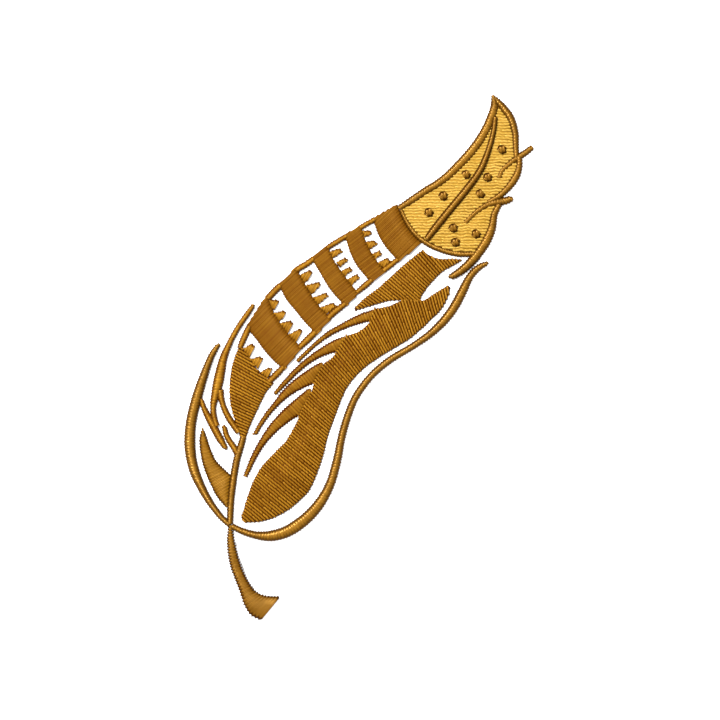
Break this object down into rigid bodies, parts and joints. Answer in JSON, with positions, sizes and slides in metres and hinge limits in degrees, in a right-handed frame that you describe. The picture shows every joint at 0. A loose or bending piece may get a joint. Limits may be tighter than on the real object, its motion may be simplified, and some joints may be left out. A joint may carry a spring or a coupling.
{
  "type": "embroidered quill pen",
  "caption": "Feather quill pen motif, machine-embroidered in gold and brown thread on white cloth cut to shape, with its backing and bobbin thread.",
  "frame": {"origin": "on the flat underside, under the middle of the main right vane", "axes": "+Y runs up the quill pen from its cut foot to its tip, +X to the right as seen from the front, +Z out of the stitched front"},
  "size_m": [0.0489, 0.0736, 0.0019],
  "materials": {
    "brown_thread": "glossy rayon thread laid in close rows",
    "edge_thread": "glossy rayon satin stitch",
    "gold_thread": "glossy rayon thread laid in level rows",
    "white_cloth": "plain-woven cotton",
    "stabiliser": "matt non-woven felted fibre",
    "bobbin_thread": "fine white polyester thread"
  },
  "bodies": {
    "root": {"stabiliser": "stabiliser", "ground_cloth": "white_cloth", "outline_bobbin": "bobbin_thread", "shaft_bobbin": "bobbin_thread", "tip_bobbin": "bobbin_thread", "left_vane_bobbin": "bobbin_thread", "right_vane_bobbin": "bobbin_thread", "outline_right": "edge_thread", "outline_left": "edge_thread", "calamus": "edge_thread", "rachis": "edge_thread", "down_patch": "edge_thread", "wisp_long": "brown_thread", "wisp_branch": "brown_thread", "wisp_low": "brown_thread", "wisp_short": "brown_thread", "vane_base": "brown_thread", "vane_base_teeth": "brown_thread", "bar_1": "brown_thread", "bar_2": "brown_thread", "bar_3": "brown_thread", "bar_4": "brown_thread", "bar_5": "brown_thread", "bar_2_teeth": "brown_thread", "bar_3_teeth": "brown_thread", "bar_4_teeth": "brown_thread", "bar_5_teeth": "brown_thread", "outer_margin": "brown_thread", "inner_margin": "brown_thread", "right_vane_top": "brown_thread", "right_vane_main": "brown_thread", "right_barb_1": "brown_thread", "right_barb_2": "brown_thread", "right_barb_3": "brown_thread", "right_barb_4": "brown_thread", "tip_fill": "gold_thread", "tip_front_edge": "edge_thread", "tip_back_edge_upper": "edge_thread", "tip_back_edge_middle": "edge_thread", "tip_back_edge_lower": "edge_thread", "tip_base_edge": "edge_thread", "tip_barb_upper": "edge_thread", "tip_barb_lower": "edge_thread", "tip_vein": "edge_thread", "tip_spot_1": "edge_thread", "tip_spot_2": "edge_thread", "tip_spot_3": "edge_thread", "tip_spot_4": "edge_thread", "tip_spot_5": "edge_thread", "tip_spot_6": "edge_thread", "tip_spot_7": "edge_thread", "tip_spot_8": "edge_thread", "tip_spot_9": "edge_thread"}
  },
  "joints": []
}
